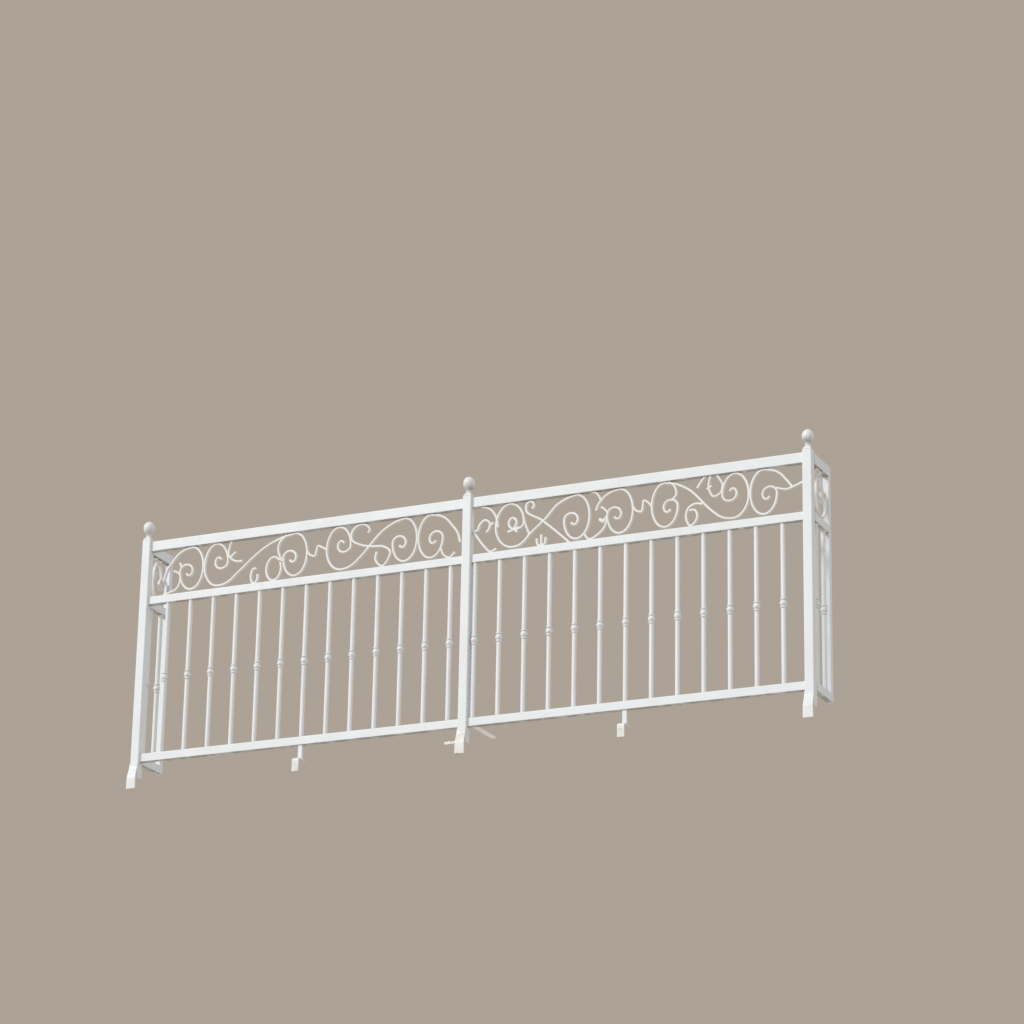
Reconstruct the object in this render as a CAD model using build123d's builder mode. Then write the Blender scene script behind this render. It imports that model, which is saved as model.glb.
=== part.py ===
from build123d import *
from math import cos, dist, radians, sin
import os

# White painted steel balcony railing: two front bays between three posts and two short returns.
# Origin: middle of the centre post's foot, on the ledge it stands on.
# X runs along the front, Y goes back to the wall, Z is up. Millimetres.

os.makedirs("parts", exist_ok=True)

# Run of the front
left_bay = 1571.0
right_bay = 1529.0
tubes_in_bay = 13
middle_tube = 6

# Rails: all three lie flush with the backs of the posts
rail_depth = 26.0
rail_height = 37.0
top_rail_height = 46.0
bottom_rail_lift = 70.0
mid_rail_lift = 786.0
frieze_height = 210.0

# Posts rise a little past the top rail
post_width = 40.0
post_depth = 38.0
post_rise = 7.0

# Upright round tubes with a ball between two collars at mid height
tube_radius = 9.8
tube_sides = 8
ball_radius = 15.0
collar_radius = 13.5
collar_thickness = 6.0
collar_bevel = 1.0
collar_gap = 17.0

# Ball finials on conical necks, each on a low pyramid cap that closes its post
cap_height = 10.0
cap_top_width = 25.0
finial_ball_radius = 25.3
finial_neck_low_radius = 11.0
finial_neck_high_radius = 17.0
finial_ball_lift = 65.0
finial_sides = 12
ring_turn = 20

# Scrollwork of flat bar, hung from the top rail
bar_thickness = 8.0
bar_depth = 16.0
bar_setback = 5.0
drawn_frieze_height = 210.0
scroll_half_width = 59.0
scroll_clearance = 9.0
left_scrolls = (-1220.0, -831.0, -616.0, -301.0)
right_scrolls = (195.5, 501.0, 697.0, 900.0, 1210.5)
wide_scroll_share = 1.12
long_arrival = 120.0
short_arrival = 88.0
wide_turn = 18
tight_turn = 30
long_stride = 28.0
short_stride = 15.0
seat_gap = 0.3
join_lap = 1.0

# Feet on the ledge
ledge_overhang = 15.0
strap_thickness = 5.0
strap_width = 44.0
strap_drop = 54.0
strap_bend_top = 44.0
strap_top = 60.0
leg_width = 20.0
leg_depth = 15.0
leg_strap_width = 32.0
leg_strap_thickness = 6.0
leg_strap_tail = 12.0

# Returns to the wall
wall_distance = 214.0
end_bar_depth = 25.0
return_tube_pitch = 88.0

# Tie from the bottom rail to the wall, and the lug beside the centre foot
tie_gap = 8.0
tie_width = 20.0
tie_thickness = 8.0
tie_lift = 74.0
lug_length = 62.0
lug_depth = 26.0
lug_thickness = 8.0

# Values that follow from the sizes above
left_x = -left_bay
right_x = right_bay
tube_pitch = (left_bay + right_bay) / (2 * tubes_in_bay + 1)
front_y = -post_depth / 2
back_y = post_depth / 2
rail_y = back_y - rail_depth / 2
bottom_rail_top = bottom_rail_lift + rail_height
mid_rail_top = mid_rail_lift + rail_height
top_rail_lift = mid_rail_top + frieze_height
top_rail_top = top_rail_lift + top_rail_height
post_height = top_rail_top + post_rise
frieze_bar_y = back_y - rail_depth + bar_setback + bar_depth / 2
scroll_low = mid_rail_top + scroll_clearance + bar_thickness / 2
scroll_high = top_rail_lift - seat_gap - bar_thickness / 2
scroll_half_height = (scroll_high - scroll_low) / 2
scroll_mid_z = (scroll_high + scroll_low) / 2
ledge_y = front_y - ledge_overhang
post_xs = {"left": left_x, "centre": 0.0, "right": right_x}


def save(part, name):
    part.label = name
    export_step(part, "parts/" + name + ".step")


def make_block(name, x0, x1, y0, y1, z0, z1):
    with BuildPart() as block:
        with BuildSketch(Plane.XY.offset(z0)):
            with Locations(((x0 + x1) / 2, (y0 + y1) / 2)):
                Rectangle(x1 - x0, y1 - y0)
        extrude(amount=z1 - z0)
    save(block.part, name)


# A turned piece of few sides: straight bands between (height, radius) rings.
def make_turned(rings, sides):
    with BuildPart() as turned:
        for height, radius in rings:
            with BuildSketch(Plane.XY.offset(height)):
                RegularPolygon(radius, sides)
        loft(ruled=True)
    return turned.part


def make_finials(name, spots):
    ball_z = post_height + finial_ball_lift
    cap_top = post_height + cap_height
    rings = [(cap_top, finial_neck_low_radius)]
    rings.append((ball_z - finial_ball_radius * sin(radians(2 * ring_turn)), finial_neck_high_radius))
    for turn in range(-ring_turn, 90, ring_turn):
        height = ball_z + finial_ball_radius * sin(radians(turn))
        rings.append((height, finial_ball_radius * cos(radians(turn))))
    ball = make_turned(rings, finial_sides)
    with BuildPart() as finial:
        with BuildSketch(Plane.XY.offset(post_height)):
            Rectangle(post_width, post_depth)
        with BuildSketch(Plane.XY.offset(cap_top)):
            Rectangle(cap_top_width, cap_top_width)
        loft(ruled=True)
        add(ball)
    with BuildPart() as row:
        with Locations(*spots):
            add(finial.part)
    save(row.part, name)


def make_tube_row(name, spots, z0, z1):
    middle = (z0 + z1) / 2
    collar_low = collar_gap - collar_thickness / 2
    collar_high = collar_gap + collar_thickness / 2
    half_rings = [
        (ball_radius * sin(radians(1.5 * ring_turn)), ball_radius * cos(radians(1.5 * ring_turn))),
        (collar_low, tube_radius),
        (collar_low + collar_bevel, collar_radius),
        (collar_high - collar_bevel, collar_radius),
        (collar_high, tube_radius),
        (z1 - middle, tube_radius),
    ]
    rings = [(middle - height, radius) for height, radius in half_rings[::-1]]
    rings.append((middle, ball_radius))
    rings += [(middle + height, radius) for height, radius in half_rings]
    tube = make_turned(rings, tube_sides)
    with BuildPart() as row:
        with Locations(*spots):
            add(tube)
    save(row.part, name)


# Points of an elliptical arc about a centre, from one angle through a turn in degrees.
def arc_points(centre, reach, start, turn, step):
    count = max(2, round(abs(turn) / step))
    angles = [radians(start + turn * n / count) for n in range(count + 1)]
    return [(centre[0] + reach[0] * cos(a), centre[1] + reach[1] * sin(a)) for a in angles]


# A big scroll as fractions of its half width and half height. It leaves its lowest point,
# goes up the outer side, over the top, down the inner side and into the curl and its eye.
def scroll_turn(lean):
    curl_height = 0.1
    inner_side = 0.96
    curl_reach = (0.53, 0.3)
    eye_reach = (0.27, 0.24)
    curl_x = inner_side - curl_reach[0]
    eye_x = curl_x - curl_reach[0] + eye_reach[0]
    belly = arc_points((lean, 0), (1 + lean, 1), -90, -90, wide_turn)
    back = arc_points((0, 0), (1, 1), 180, -90, wide_turn)
    shoulder = arc_points((0, curl_height), (inner_side, 1 - curl_height), 90, -90, wide_turn)
    curl = arc_points((curl_x, curl_height), curl_reach, 0, -180, tight_turn)
    eye = arc_points((eye_x, curl_height), eye_reach, 180, -150, 1.5 * tight_turn)
    return belly[:-1] + back[:-1] + shoulder[:-1] + curl[:-1] + eye


def place(x, across, up):
    return (x + across * scroll_half_width, scroll_mid_z + up * scroll_half_height)


def scroll_points(x, side, flip, lean=0.0, wide=1.0):
    return [place(x, side * flip * across * wide, flip * up) for across, up in scroll_turn(lean)]


# A low scroll that runs on along its rail, rises and turns into a high one upside down.
def s_scroll_points(x_low, x_high, arrival, wide=1.0):
    side = 1 if x_high > x_low else -1
    low = scroll_points(x_low, side, 1, 0.2, wide)[::-1]
    high = scroll_points(x_high, side, -1)
    leave = [place(x_low, side * 0.6, -0.98), place(x_low, side * 1.1, -0.86), place(x_low, side * 1.6, -0.62)]
    reach = [place(x_high - side * arrival, 0, 0.68), place(x_high - side * arrival / 2, 0, 0.9)]
    rise = smooth_line([low[-1]] + leave + reach + [high[0]], long_stride)
    return low[:-1] + rise + high[1:]


# The tail of a single scroll, from its top point down and away.
def tail_points(x, side, falls):
    return smooth_line([place(x, side * across, up) for across, up in falls], long_stride)[::-1]


# A smooth line through the points, in straight steps of about one stride.
def smooth_line(points, stride):
    gaps = [dist(here, there) for here, there in zip(points, points[1:])]
    ways = [way_between(points[0], points[1], gaps[0])]
    for n in range(1, len(points) - 1):
        before = way_between(points[n - 1], points[n], gaps[n - 1])
        after = way_between(points[n], points[n + 1], gaps[n])
        share = gaps[n] / (gaps[n - 1] + gaps[n])
        ways.append(tuple(share * b + (1 - share) * a for b, a in zip(before, after)))
    ways.append(way_between(points[-2], points[-1], gaps[-1]))
    line = []
    for n, gap in enumerate(gaps):
        steps = max(1, round(gap / stride))
        for step in range(steps):
            t = step / steps
            line.append(tuple(
                p * (2 * t**3 - 3 * t**2 + 1) + q * (3 * t**2 - 2 * t**3)
                + gap * (v * (t**3 - 2 * t**2 + t) + w * (t**3 - t**2))
                for p, q, v, w in zip(points[n], points[n + 1], ways[n], ways[n + 1])
            ))
    return line + [points[-1]]


def way_between(here, there, gap):
    return ((there[0] - here[0]) / gap, (there[1] - here[1]) / gap)


# The two sides of a bar whose middle runs through the points, mitred at every bend.
def ribbon_outline(line):
    left = []
    right = []
    for n, spot in enumerate(line):
        before = line[max(n - 1, 0)]
        after = line[min(n + 1, len(line) - 1)]
        along, up = way_between(before, after, dist(before, after))
        half = bar_thickness / 2
        left.append((spot[0] - up * half, spot[1] + along * half))
        right.append((spot[0] + up * half, spot[1] - along * half))
    return left + right[::-1]


# All bars of one panel, fused where they cross and trimmed to the opening between its rails.
def make_scrollwork(name, lines, plane, start, end):
    outlines = [ribbon_outline(line) for line in lines]
    low = mid_rail_top + seat_gap
    high = top_rail_lift - seat_gap
    with BuildPart() as scrollwork:
        with BuildSketch(plane):
            for outline in outlines:
                with BuildLine():
                    Polyline(*outline, close=True)
                make_face()
            with Locations(((start + end) / 2, (low + high) / 2)):
                Rectangle(end - start - 2 * seat_gap, high - low, mode=Mode.INTERSECT)
        extrude(amount=bar_depth / 2, both=True)
    save(scrollwork.part, name)


# Height of a point of the small bars, from its height in the frieze as it was drawn.
def lift_to(height):
    return mid_rail_top + height * frieze_height / drawn_frieze_height


def lifted(points):
    return smooth_line([(x, lift_to(height)) for x, height in points], short_stride)


def ring_points(x, height, reach, start, turn):
    tall = reach[1] * frieze_height / drawn_frieze_height
    return arc_points((x, lift_to(height)), (reach[0], tall), start, turn, tight_turn)


# Posts and the finials on them
for side, x in post_xs.items():
    half = post_width / 2
    make_block("post_" + side, x - half, x + half, front_y, back_y, 0.0, post_height)
make_finials("finials", [(x, 0) for x in post_xs.values()])

# Rails of the two bays
bay_ends = {
    "left_bay": (left_x + post_width / 2, -post_width / 2),
    "right_bay": (post_width / 2, right_x - post_width / 2),
}
rail_levels = {
    "bottom_rail": (bottom_rail_lift, bottom_rail_top),
    "mid_rail": (mid_rail_lift, mid_rail_top),
    "top_rail": (top_rail_lift, top_rail_top),
}
for level, (low, high) in rail_levels.items():
    for bay, (start, end) in bay_ends.items():
        make_block(level + "_" + bay, start, end, back_y - rail_depth, back_y, low, high)

# Uprights, evenly pitched from each end post
left_spots = [(left_x + tube_pitch * (n + 1), rail_y) for n in range(tubes_in_bay)]
right_spots = [(right_x - tube_pitch * (n + 1), rail_y) for n in range(tubes_in_bay)]
make_tube_row("balusters_left_bay", left_spots, bottom_rail_top, mid_rail_lift)
make_tube_row("balusters_right_bay", right_spots, bottom_rail_top, mid_rail_lift)

# Front scrollwork: the big scrolls first, then the small bars between them
front_plane = Plane(origin=(0, frieze_bar_y, 0), x_dir=(1, 0, 0), z_dir=(0, -1, 0))
touch_pitch = 2 * scroll_half_width + bar_thickness - join_lap
tail_falls = ((0, 1), (0.6, 0.93), (1.1, 0.78), (1.7, 0.38), (2.1, 0.05), (2.35, -0.45))
left_single = left_scrolls[0] - touch_pitch
left_inner_single = left_scrolls[3] + touch_pitch
right_outer_single = right_scrolls[4] + touch_pitch
left_lines = [
    tail_points(left_single, -1, tail_falls) + scroll_points(left_single, 1, -1)[1:],
    s_scroll_points(left_scrolls[0], left_scrolls[1], long_arrival),
    s_scroll_points(left_scrolls[2], left_scrolls[3], short_arrival),
    tail_points(left_inner_single, 1, tail_falls) + scroll_points(left_inner_single, -1, -1)[1:],
]
right_lines = [
    s_scroll_points(right_scrolls[0], right_scrolls[1], short_arrival, wide_scroll_share),
    tail_points(right_scrolls[2], -1, tail_falls[:4]) + scroll_points(right_scrolls[2], 1, -1)[1:],
    s_scroll_points(right_scrolls[4], right_scrolls[3], short_arrival),
    tail_points(right_outer_single, 1, tail_falls[:5]) + scroll_points(right_outer_single, -1, -1)[1:],
]

# Small bars of the left bay as (x, height above the mid rail)
left_lines += [
    # Arc and leaf tip at the first scroll
    lifted([(-1434, 107), (-1405, 90), (-1401, 54), (-1416, 24), (-1449, 10), (-1480, 2)]),
    lifted([(-1405, 141), (-1393, 117)]),
    # Tendril and bud beside the second scroll
    lifted([(-1148, 212), (-1158, 180), (-1161, 150), (-1146, 128), (-1120, 114), (-1091, 112)]),
    lifted([(-1150, 134), (-1138, 147), (-1124, 157)]),
    # Two loops standing on the mid rail before the third scroll
    ring_points(-1029, 36, (17, 34), 60, 310),
    ring_points(-928, 57, (39, 55), 40, 280),
    # Wave between the third and fourth scrolls
    lifted([(-773, 119), (-755, 97), (-733, 90), (-726, 112), (-718, 134), (-704, 128), (-677, 112)]),
    # Tendril that crosses the short diagonal and curls up on the rail
    lifted([(-477, 163), (-470, 178), (-488, 200), (-528, 202), (-556, 174), (-554, 140), (-514, 114),
            (-455, 99), (-402, 92), (-369, 66), (-376, 35), (-405, 4), (-439, 39), (-433, 72)]),
    # Foot bar beside the centre post
    lifted([(-128, 48), (-112, 16), (-88, 3), (-60, 24)]),
]

# Small bars of the right bay
right_lines += [
    # Bars from the centre post: foot bar, hooked bar with its tip, quarter arc
    lifted([(18, 114), (49, 68), (78, 30), (106, 5), (133, 14)]),
    lifted([(18, 113), (42, 105), (53, 130), (78, 149), (100, 134), (99, 112), (85, 92)]),
    lifted([(99, 118), (118, 134)]),
    lifted([(60, 211), (100, 196), (122, 171), (134, 140), (138, 109)]),
    # Tie and leaf at the first scroll
    lifted([(258, 134), (268, 100), (286, 68)]),
    lifted([(184, 83), (232, 98)]),
    # Bar with a hooked top that crosses the diagonal
    lifted([(297, 171), (305, 189), (290, 206), (272, 196), (268, 174), (341, 116), (436, 32), (468, 2)]),
    # Palmette of three prongs on the mid rail
    lifted([(340, 0), (340, 52)]),
    lifted([(338, 0), (324, 9), (319, 36)]),
    lifted([(342, 0), (356, 9), (361, 38)]),
    # Small bars between the second and third scrolls
    lifted([(536, 30), (557, 4), (600, 20), (628, 48), (640, 83)]),
    lifted([(601, 141), (622, 123), (642, 97)]),
    lifted([(597, 86), (608, 76), (622, 79), (639, 105)]),
    lifted([(566, 211), (590, 203), (612, 170)]),
    # Wave between the third and fourth scrolls
    lifted([(756, 119), (772, 101), (794, 94), (801, 119), (805, 141), (820, 134), (840, 112)]),
    # Lobe over the fourth scroll's curl
    lifted([(915, 211), (945, 181), (948, 145), (926, 124)]),
    # Cup with its tip, hook and low curl before the fifth scroll
    lifted([(1101, 211), (1094, 160), (1116, 118), (1148, 132), (1155, 160), (1130, 211)]),
    lifted([(1085, 153), (1108, 166)]),
    lifted([(1077, 211), (1054, 181), (1043, 163)]),
    lifted([(1066, 92), (1035, 97), (1002, 79), (993, 46), (1014, 4), (1035, 20), (1043, 46), (1032, 70),
            (1008, 72)]),
    # Wave from the last scroll to the end post
    lifted([(1390, 119), (1437, 108), (1466, 116), (1512, 134)]),
]
make_scrollwork("scrollwork_left_bay", left_lines, front_plane, *bay_ends["left_bay"])
make_scrollwork("scrollwork_right_bay", right_lines, front_plane, *bay_ends["right_bay"])

# Returns: rails, two uprights, two crossing scrolls and an end bar against the wall
for side, x, out in (("left", left_x, -1), ("right", right_x, 1)):
    outer = x + out * post_width / 2
    inner = outer - out * rail_depth
    low_x = min(outer, inner)
    high_x = max(outer, inner)
    middle_x = (outer + inner) / 2
    bar_y = wall_distance - end_bar_depth
    for level, (low, high) in rail_levels.items():
        make_block(level + "_" + side + "_return", low_x, high_x, back_y, bar_y, low, high)
    make_block("wall_bar_" + side, low_x, high_x, bar_y, wall_distance, bottom_rail_lift, top_rail_top)
    middle_y = (back_y + bar_y) / 2
    half_run = (bar_y - back_y) / 2
    spots = [(middle_x, middle_y + step * return_tube_pitch / 2) for step in (-1, 1)]
    make_tube_row("balusters_" + side + "_return", spots, bottom_rail_top, mid_rail_lift)
    side_plane = Plane(origin=(middle_x, middle_y, 0), x_dir=(0, 1, 0), z_dir=(1, 0, 0))
    reach = half_run - scroll_half_width - bar_thickness / 2
    lines = [scroll_points(-reach, 1, 1), scroll_points(reach, -1, -1)]
    make_scrollwork("scrollwork_" + side + "_return", lines, side_plane, -half_run, half_run)

# Straps bent from the post fronts over the lip of the ledge
for side, x in post_xs.items():
    with BuildPart() as strap:
        with BuildSketch(Plane.YZ.offset(x - strap_width / 2)):
            with BuildLine():
                Polyline(
                    (front_y, strap_top),
                    (front_y - strap_thickness, strap_top),
                    (front_y - strap_thickness, strap_bend_top),
                    (ledge_y - strap_thickness, 0),
                    (ledge_y - strap_thickness, -strap_drop),
                    (ledge_y, -strap_drop),
                    (ledge_y, 0),
                    (front_y, strap_bend_top),
                    close=True,
                )
            make_face()
        extrude(amount=strap_width)
    save(strap.part, "strap_" + side)

# Legs under the seventh upright of each bay, each on a strap hooked over the ledge
for side, spot in (("left", left_spots[middle_tube]), ("right", right_spots[middle_tube])):
    x = spot[0]
    leg_front = rail_y - leg_depth / 2
    leg_back = rail_y + leg_depth / 2
    half = leg_width / 2
    foot = leg_strap_thickness
    make_block("leg_" + side + "_bay", x - half, x + half, leg_front, leg_back, foot, bottom_rail_lift)
    with BuildPart() as strap:
        with BuildSketch(Plane.YZ.offset(x - leg_strap_width / 2)):
            with BuildLine():
                Polyline(
                    (leg_back + leg_strap_tail, 0),
                    (leg_back + leg_strap_tail, foot),
                    (ledge_y - foot, foot),
                    (ledge_y - foot, -strap_drop),
                    (ledge_y, -strap_drop),
                    (ledge_y, 0),
                    close=True,
                )
            make_face()
        extrude(amount=leg_strap_width)
    save(strap.part, "leg_strap_" + side + "_bay")

# Tie to the wall beside the centre post
tie_start = post_width / 2 + tie_gap
make_block("wall_tie", tie_start, tie_start + tie_width, back_y, wall_distance, tie_lift, tie_lift + tie_thickness)

# Lug beside the centre foot
lug_start = -post_width / 2 - lug_length
lug_end = -post_width / 2
make_block("foot_lug", lug_start, lug_end, -lug_depth / 2, lug_depth / 2, 0.0, lug_thickness)
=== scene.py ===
import math
import bpy
import numpy as np
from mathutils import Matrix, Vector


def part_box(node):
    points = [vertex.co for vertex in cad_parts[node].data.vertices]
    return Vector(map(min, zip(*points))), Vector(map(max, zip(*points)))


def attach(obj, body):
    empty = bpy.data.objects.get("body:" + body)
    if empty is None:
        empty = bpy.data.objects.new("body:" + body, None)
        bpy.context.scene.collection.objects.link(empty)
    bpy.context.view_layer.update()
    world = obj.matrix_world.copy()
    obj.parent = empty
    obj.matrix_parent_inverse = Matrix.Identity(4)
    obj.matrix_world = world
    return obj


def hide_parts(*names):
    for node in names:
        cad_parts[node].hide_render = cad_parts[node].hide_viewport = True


# White painted steel balcony railing. Metres: X along the front, Y back to the wall, Z up.

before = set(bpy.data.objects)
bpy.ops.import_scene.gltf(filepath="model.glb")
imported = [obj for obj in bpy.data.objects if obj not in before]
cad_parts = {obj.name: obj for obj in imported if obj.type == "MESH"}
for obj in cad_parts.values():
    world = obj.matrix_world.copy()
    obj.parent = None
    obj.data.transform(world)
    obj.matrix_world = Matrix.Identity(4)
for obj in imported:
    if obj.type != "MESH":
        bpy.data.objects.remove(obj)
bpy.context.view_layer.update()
print("frame loaded:", len(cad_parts), "solids' nodes")

root = "root"
seed = 11
rng = np.random.default_rng(seed)
mm = 0.001
alongX, alongY, alongZ = range(3)


# Lowest and highest corner of a node as arrays.
def corners(node):
    low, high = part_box(node)
    return np.array(low), np.array(high)


# Places that several pieces share, read from the frame
bays = ("left_bay", "right_bay")
returns = ("left_return", "right_return")
postSides = ("left", "centre", "right")
postX = {side: float(sum(corners("post_" + side))[0] / 2) for side in postSides}
postLow, postHigh = corners("post_centre")
bottomTop = corners("bottom_rail_left_bay")[1][2]
midLow, midTop = (corner[2] for corner in corners("mid_rail_left_bay"))
topLow = corners("top_rail_left_bay")[0][2]
railFront, railBack = (corner[1] for corner in corners("top_rail_left_bay"))
railY = (railFront + railBack) / 2


# Signed volume of a closed shell: a sixth of the sum of a . (b x c) over its triangles.
def shellVolume(points, quads):
    a, b, c, d = (points[quads[:, n]] for n in range(4))
    return (np.einsum("ij,ij->i", a, np.cross(b, c)) + np.einsum("ij,ij->i", a, np.cross(c, d))).sum() / 6


# A closed shell from a grid of points whose columns go round: quads between the rows and a flat cap
# on the first and last row, all turned to face outwards.
def shellOf(grid):
    rows, columns = grid.shape[:2]
    index = np.arange(rows * columns).reshape(rows, columns)
    low, high = index[:-1], index[1:]
    quads = np.stack([low, np.roll(low, -1, 1), np.roll(high, -1, 1), high], -1).reshape(-1, 4)
    caps = [index[0][::-1], index[-1]]
    points = grid.reshape(-1, 3)
    if shellVolume(points - points.mean(0), quads) < 0:
        quads = quads[:, ::-1]
        caps = [cap[::-1] for cap in caps]
    return points, quads, caps


# One mesh from several shells, with a joint mask (near a weld) and an edge mask (on a corner).
def makePiece(name, shells, material, nodes=(), edges=None):
    points = []
    faces = []
    offset = 0
    for shellPoints, quads, caps in shells:
        points.append(shellPoints)
        faces += (quads + offset).tolist()
        faces += [(cap + offset).tolist() for cap in caps]
        offset += len(shellPoints)
    points = np.concatenate(points)
    mesh = bpy.data.meshes.new(name)
    mesh.from_pydata(points.tolist(), [], faces)
    mesh.shade_smooth()
    masks = {"joint": jointMask(points), "edge": np.zeros(len(points)) if edges is None else edges}
    for label, values in masks.items():
        attribute = mesh.attributes.new(label, "FLOAT", "POINT")
        attribute.data.foreach_set("value", values.astype(np.float32))
    mesh.materials.append(material)
    piece = bpy.data.objects.new(name, mesh)
    bpy.context.scene.collection.objects.link(piece)
    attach(piece, root)
    if nodes:
        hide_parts(*nodes)
    return piece


# Nearness to a weld: exp(-(distance to the nearest weld spot / reach)^2). The spots come in batches,
# so that the table of distances stays small.
def jointMask(points, reach=11 * mm, farAway=1.0, batches=12):
    nearest = np.full(len(points), farAway)
    for spots in np.array_split(weldSpots, batches):
        gaps = np.linalg.norm(points[:, None] - spots[None], axis=2).min(1)
        nearest = np.minimum(nearest, gaps)
    return np.exp(-(nearest / reach) ** 2)


# Uprights of each bay and return, as (x, y)
tubeLayout = {"perBay": 13, "returnPitch": 88 * mm, "radius": 9.8 * mm}
tubePitch = (postX["right"] - postX["left"]) / (2 * tubeLayout["perBay"] + 1)
steps = np.arange(1, tubeLayout["perBay"] + 1)
returnMid = (railBack + corners("wall_bar_left")[0][1]) / 2
tubeSpots = {
    "left_bay": [(postX["left"] + tubePitch * n, railY) for n in steps],
    "right_bay": [(postX["right"] - tubePitch * n, railY) for n in steps],
}
halfPitch = tubeLayout["returnPitch"] / 2
for side in ("left", "right"):
    low, high = corners("top_rail_" + side + "_return")
    middle = (low[0] + high[0]) / 2
    tubeSpots[side + "_return"] = [(middle, returnMid - halfPitch), (middle, returnMid + halfPitch)]


# Frieze: sizes of its bars and the places along X of the big scrolls of each bay
frieze = {
    "halfWidth": 59 * mm, "clearance": 9 * mm, "seatGap": 0.3 * mm, "wideShare": 1.12,
    "thickness": 8 * mm, "barWidth": 10.2 * mm, "depth": 15 * mm, "depthLoss": 0.13, "depthTurn": 0.618,
    "corner": 3.4 * mm, "arcSteps": 3, "stride": 3.6 * mm, "near": (0, 0.25 * mm, 0.7 * mm, 1.5 * mm),
    "endRound": 2 * mm, "endTip": 0.15 * mm, "endThin": 0.15, "swell": 0.2, "swellReach": 7 * mm,
    "touchPitch": 125 * mm, "arrival": {"long": 120 * mm, "short": 88 * mm}, "lean": 0.2,
    "left": (-1.220, -0.831, -0.616, -0.301), "right": (0.1955, 0.501, 0.697, 0.900, 1.2105),
}
friezeY = sum(corners("scrollwork_left_bay"))[1] / 2
scrollLow = midTop + frieze["clearance"] + frieze["thickness"] / 2
scrollHigh = topLow - frieze["seatGap"] - frieze["thickness"] / 2
scrollMid = (scrollLow + scrollHigh) / 2
scrollHalf = (scrollHigh - scrollLow) / 2

# Places of the scrolls that stand alone at the ends of a bay
singles = {
    "left": frieze["left"][0] - frieze["touchPitch"],
    "leftInner": frieze["left"][3] + frieze["touchPitch"],
    "right": frieze["right"][4] + frieze["touchPitch"],
}


# Steps from a known place to the weld spots beside it
weldPlaces = {
    "ringAngles": np.radians(np.arange(0, 360, 60)), "railShares": np.linspace(0, 1, 4),
    "scrollTop": 8 * mm, "neck": (-10 * mm, 10 * mm), "neckLift": 10 * mm,
    "strapFoot": (-15 * mm, -5 * mm, 5 * mm, 15 * mm), "strapBack": 2 * mm,
    "legFixing": (-4 * mm, -3 * mm), "legFixingHeight": -20 * mm,
}


# Spots round the tubes' ends, the rails' ends and the finials' necks, at the tops of the scrolls, at
# the centre strap's foot and at the leg straps' fixings.
def findWelds(values):
    spots = []
    turn = values["ringAngles"]
    radius = tubeLayout["radius"]
    for places in tubeSpots.values():
        for x, y in places:
            ring = np.stack([x + radius * np.cos(turn), y + radius * np.sin(turn)], 1)
            for z in (bottomTop, midLow):
                spots += [(px, py, z) for px, py in ring]
    for level in ("bottom_rail_", "mid_rail_", "top_rail_"):
        for place in bays + returns:
            low, high = corners(level + place)
            along, across = (alongX, alongY) if place in bays else (alongY, alongX)
            for end in (low[along], high[along]):
                for t in values["railShares"]:
                    for cross, height in ((t, 0), (t, 1), (0, t), (1, t)):
                        spot = [0, 0, low[2] + height * (high[2] - low[2])]
                        spot[along] = end
                        spot[across] = low[across] + cross * (high[across] - low[across])
                        spots.append(tuple(spot))
    for x in frieze["left"] + frieze["right"] + tuple(singles.values()):
        spots += [(x, friezeY, topLow), (x + values["scrollTop"], friezeY, topLow)]
    for side in postSides:
        for dx in values["neck"]:
            spots += [(postX[side] + dx, dy, postHigh[2] + values["neckLift"]) for dy in values["neck"]]
    low, high = corners("strap_centre")
    spots += [(postX["centre"] + dx, low[1] + values["strapBack"], low[2]) for dx in values["strapFoot"]]
    for place in bays:
        low, high = corners("leg_strap_" + place)
        aside, back = values["legFixing"]
        spots.append(((low[0] + high[0]) / 2 + aside, low[1] + back, values["legFixingHeight"]))
    return np.array(spots, float)


weldSpots = findWelds(weldPlaces)
print("weld spots:", len(weldSpots))


# Materials

# A node in a tree, with its settings, and its inputs as constants or links.
def addNode(tree, kind, inputs=None, **settings):
    made = tree.nodes.new("ShaderNode" + kind)
    for name, value in settings.items():
        setattr(made, name, value)
    for name, value in (inputs or {}).items():
        if isinstance(value, bpy.types.NodeSocket):
            tree.links.new(value, made.inputs[name])
        else:
            made.inputs[name].default_value = value
    return made


# The result of one operation on two values or links.
def mathNode(tree, operation, a, b):
    return addNode(tree, "Math", {0: a, 1: b}, operation=operation).outputs[0]


# Colour a, going over to colour b as the factor rises.
def mixColour(tree, factor, a, b):
    return addNode(tree, "Mix", {0: factor, 6: a, 7: b}, data_type="RGBA").outputs[2]


# Smooth step of a value from low to high, to the range 0 to 1.
def stepBetween(tree, value, low, high):
    made = addNode(tree, "MapRange", {0: value, 1: low, 2: high}, interpolation_type="SMOOTHSTEP")
    return made.outputs[0]


# Three-dimensional noise on Object coordinates, stretched by a scale for each axis.
def noiseOn(tree, scale, stretch=(1, 1, 1), detail=4.0, shift=0.0):
    place = addNode(tree, "TexCoord").outputs["Object"]
    moved = addNode(tree, "Mapping", {"Vector": place, "Scale": stretch, "Location": (shift, shift, shift)})
    made = addNode(tree, "TexNoise", {"Vector": moved.outputs[0], "Scale": scale, "Detail": detail})
    return made.outputs[0]


# A placed group's outputs, with its inputs as constants or links.
def groupNode(tree, group, inputs):
    return addNode(tree, "Group", inputs, node_tree=group).outputs


# The colour below, covered by a tint where the mask is high, up to a depth.
def coverWith(tree, colour, mask, depth, tint):
    return mixColour(tree, mathNode(tree, "MULTIPLY", mask, depth), colour, tint)


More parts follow.
